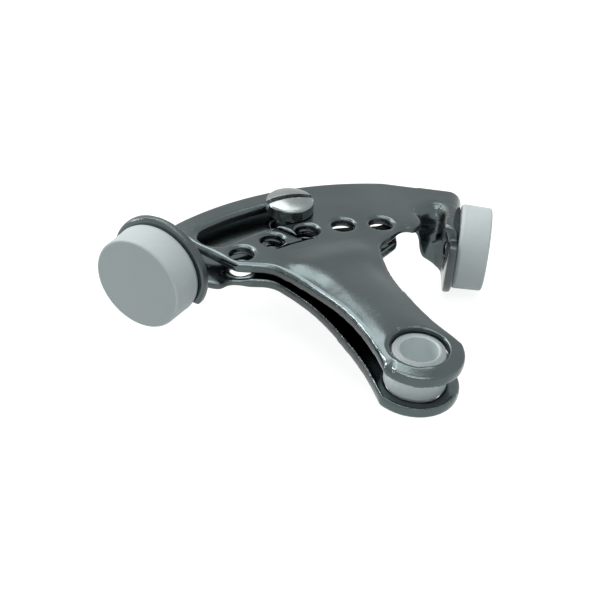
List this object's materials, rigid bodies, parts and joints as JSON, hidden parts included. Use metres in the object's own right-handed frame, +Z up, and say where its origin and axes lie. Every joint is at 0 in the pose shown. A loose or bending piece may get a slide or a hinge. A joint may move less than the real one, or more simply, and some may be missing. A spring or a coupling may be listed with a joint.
{
  "type": "hinge pin door stop",
  "caption": "Adjustable door stop that hangs on a hinge pin: pressed steel arms that swing about the pin, are clamped by a screw in curved slots and end in round rubber buffers.",
  "frame": {"origin": "on the hinge pin's axis, midway between the two arms", "axes": "+Z up along the hinge pin, +Y along the arms from the pin towards the clamp screw, +X towards the upper arm's buffer"},
  "size_m": [0.083, 0.0651, 0.0298],
  "materials": {
    "arm_plate": "polished dark nickel plate",
    "bushing": "light grey moulded plastic",
    "fastener": "bright nickel plate",
    "buffer": "light grey satin rubber"
  },
  "bodies": {
    "upper": {"upper_arm": "arm_plate", "right_bumper": "buffer", "pin_bushing": "bushing"},
    "lower": {"lower_arm": "arm_plate", "left_bumper": "buffer"},
    "nut": {"clamp_nut": "fastener"},
    "screw": {"clamp_screw": "fastener"}
  },
  "joints": [
    {"name": "arm_swing", "type": "hinge", "parent": "upper", "child": "lower", "pos_m": [0, 0, 0], "axis": [0, 0, 1], "range_deg": [0, 40]},
    {"name": "clamp_travel", "type": "hinge", "parent": "upper", "child": "nut", "pos_m": [0, 0, 0], "axis": [0, 0, 1], "range_deg": [0, 20]},
    {"name": "screw_turn", "type": "hinge", "parent": "nut", "child": "screw", "pos_m": [0, 0.04915, 0], "axis": [0, 0, 1], "range_deg": [-57, 360]}
  ],
  "couplings": [
    {"joint": "clamp_travel", "follows": "arm_swing", "ratio": 0.5}
  ]
}
